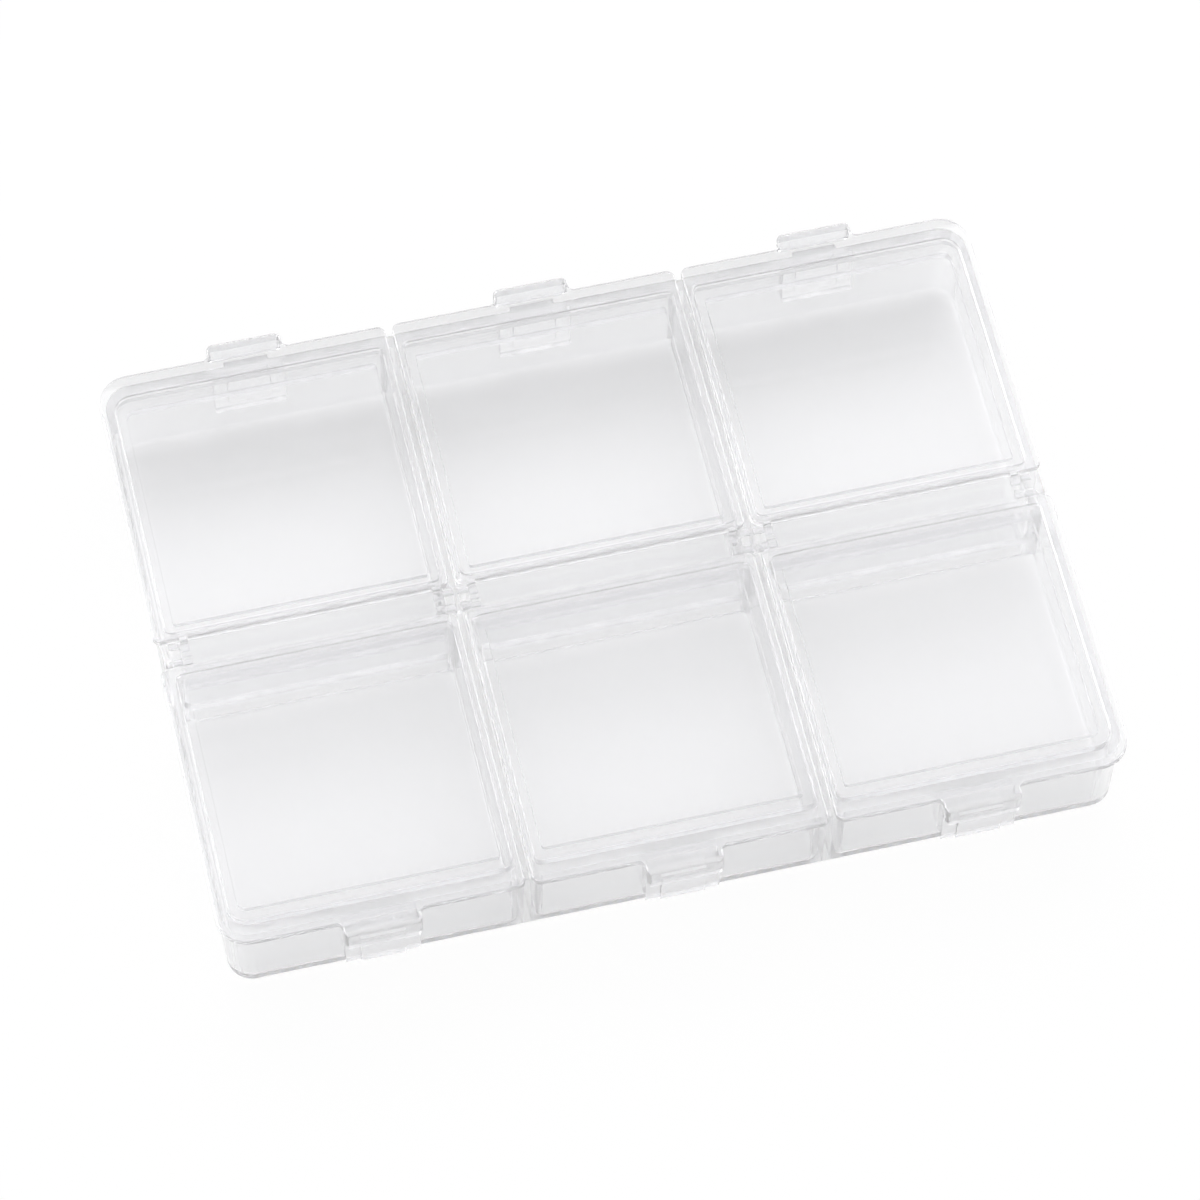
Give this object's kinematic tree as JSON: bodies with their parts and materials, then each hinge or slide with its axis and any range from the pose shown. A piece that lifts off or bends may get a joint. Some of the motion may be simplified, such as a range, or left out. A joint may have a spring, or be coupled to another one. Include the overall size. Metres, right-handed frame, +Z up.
{
  "type": "bead organizer",
  "caption": "Low clear plastic box for beads and small craft parts, with two rows of compartments that each have their own snap-shut hinged lid.",
  "frame": {"origin": "middle of the underside, on the surface the box stands on", "axes": "+X along the rows of compartments, +Y from the front row to the back row, +Z up; all lids closed"},
  "size_m": [0.132, 0.0998, 0.0165],
  "materials": {
    "tray": "clear moulded polypropylene, glossy",
    "lid": "clear moulded polypropylene, glossy"
  },
  "bodies": {
    "tray": {"tray": "tray"},
    "lid_front_left": {"lid_front_left": "lid"},
    "lid_front_middle": {"lid_front_middle": "lid"},
    "lid_front_right": {"lid_front_right": "lid"},
    "lid_back_left": {"lid_back_left": "lid"},
    "lid_back_middle": {"lid_back_middle": "lid"},
    "lid_back_right": {"lid_back_right": "lid"}
  },
  "joints": [
    {"name": "lid_front_left_hinge", "type": "hinge", "parent": "tray", "child": "lid_front_left", "pos_m": [-0.044, -0.00125, 0.01545], "axis": [-1, 0, 0], "range_deg": [0, 90]},
    {"name": "lid_front_middle_hinge", "type": "hinge", "parent": "tray", "child": "lid_front_middle", "pos_m": [0, -0.00125, 0.01545], "axis": [-1, 0, 0], "range_deg": [0, 90]},
    {"name": "lid_front_right_hinge", "type": "hinge", "parent": "tray", "child": "lid_front_right", "pos_m": [0.044, -0.00125, 0.01545], "axis": [-1, 0, 0], "range_deg": [0, 90]},
    {"name": "lid_back_left_hinge", "type": "hinge", "parent": "tray", "child": "lid_back_left", "pos_m": [-0.044, 0.00125, 0.01545], "axis": [1, 0, 0], "range_deg": [0, 90]},
    {"name": "lid_back_middle_hinge", "type": "hinge", "parent": "tray", "child": "lid_back_middle", "pos_m": [0, 0.00125, 0.01545], "axis": [1, 0, 0], "range_deg": [0, 90]},
    {"name": "lid_back_right_hinge", "type": "hinge", "parent": "tray", "child": "lid_back_right", "pos_m": [0.044, 0.00125, 0.01545], "axis": [1, 0, 0], "range_deg": [0, 90]}
  ]
}
